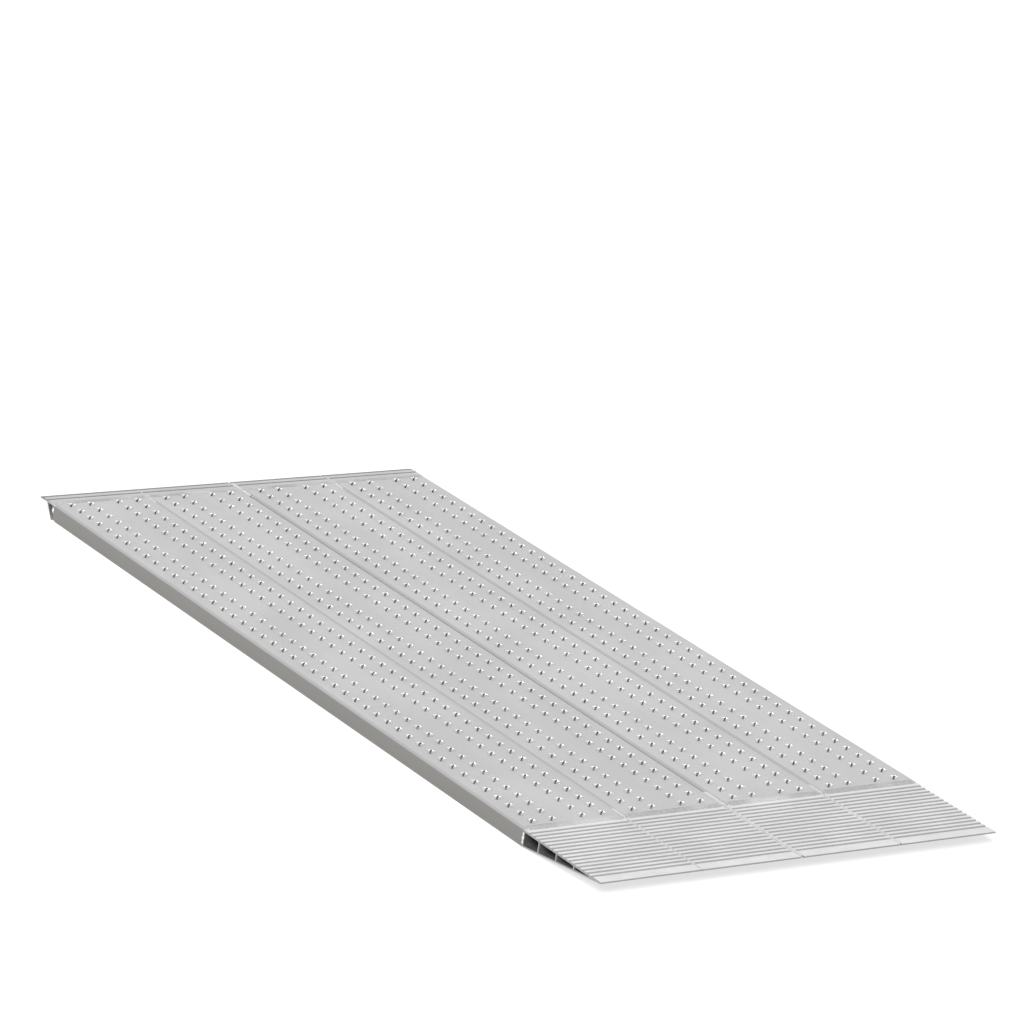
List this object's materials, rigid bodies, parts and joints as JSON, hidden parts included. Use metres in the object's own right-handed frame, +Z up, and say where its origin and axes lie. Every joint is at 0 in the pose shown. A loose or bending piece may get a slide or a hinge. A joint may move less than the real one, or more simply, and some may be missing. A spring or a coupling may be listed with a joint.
{
  "type": "loading ramp",
  "caption": "Aluminium loading ramp: four punched deck planks welded side by side, each with a lip for the vehicle's floor and a ribbed, hollow toe.",
  "frame": {"origin": "on the ground under the middle of the ramp, which lies flat", "axes": "+X to the right for someone who walks up the ramp, +Y uphill from the toe to the lip, +Z up out of the deck"},
  "size_m": [0.9794, 2.1646, 0.042],
  "materials": {
    "deck_aluminium": "mill finish, lightly weathered",
    "rib_aluminium": "mill finish, ribs polished by use",
    "weld_aluminium": "weld bead, brushed"
  },
  "bodies": {
    "root": {"deck_plank_1": "deck_aluminium", "toe_wedge_1": "rib_aluminium", "top_lip_1": "deck_aluminium", "toe_weld_1": "weld_aluminium", "lip_weld_1": "weld_aluminium", "deck_plank_2": "deck_aluminium", "toe_wedge_2": "rib_aluminium", "top_lip_2": "deck_aluminium", "toe_weld_2": "weld_aluminium", "lip_weld_2": "weld_aluminium", "deck_plank_3": "deck_aluminium", "toe_wedge_3": "rib_aluminium", "top_lip_3": "deck_aluminium", "toe_weld_3": "weld_aluminium", "lip_weld_3": "weld_aluminium", "deck_plank_4": "deck_aluminium", "toe_wedge_4": "rib_aluminium", "top_lip_4": "deck_aluminium", "toe_weld_4": "weld_aluminium", "lip_weld_4": "weld_aluminium", "toe_seam_weld_1": "weld_aluminium", "low_seam_weld_1": "weld_aluminium", "high_seam_weld_1": "weld_aluminium", "lip_seam_weld_1": "weld_aluminium", "toe_seam_weld_2": "weld_aluminium", "low_seam_weld_2": "weld_aluminium", "high_seam_weld_2": "weld_aluminium", "lip_seam_weld_2": "weld_aluminium", "toe_seam_weld_3": "weld_aluminium", "low_seam_weld_3": "weld_aluminium", "high_seam_weld_3": "weld_aluminium", "lip_seam_weld_3": "weld_aluminium", "left_toe_weld": "weld_aluminium", "left_lip_weld": "weld_aluminium", "right_toe_weld": "weld_aluminium", "right_lip_weld": "weld_aluminium"}
  },
  "joints": []
}
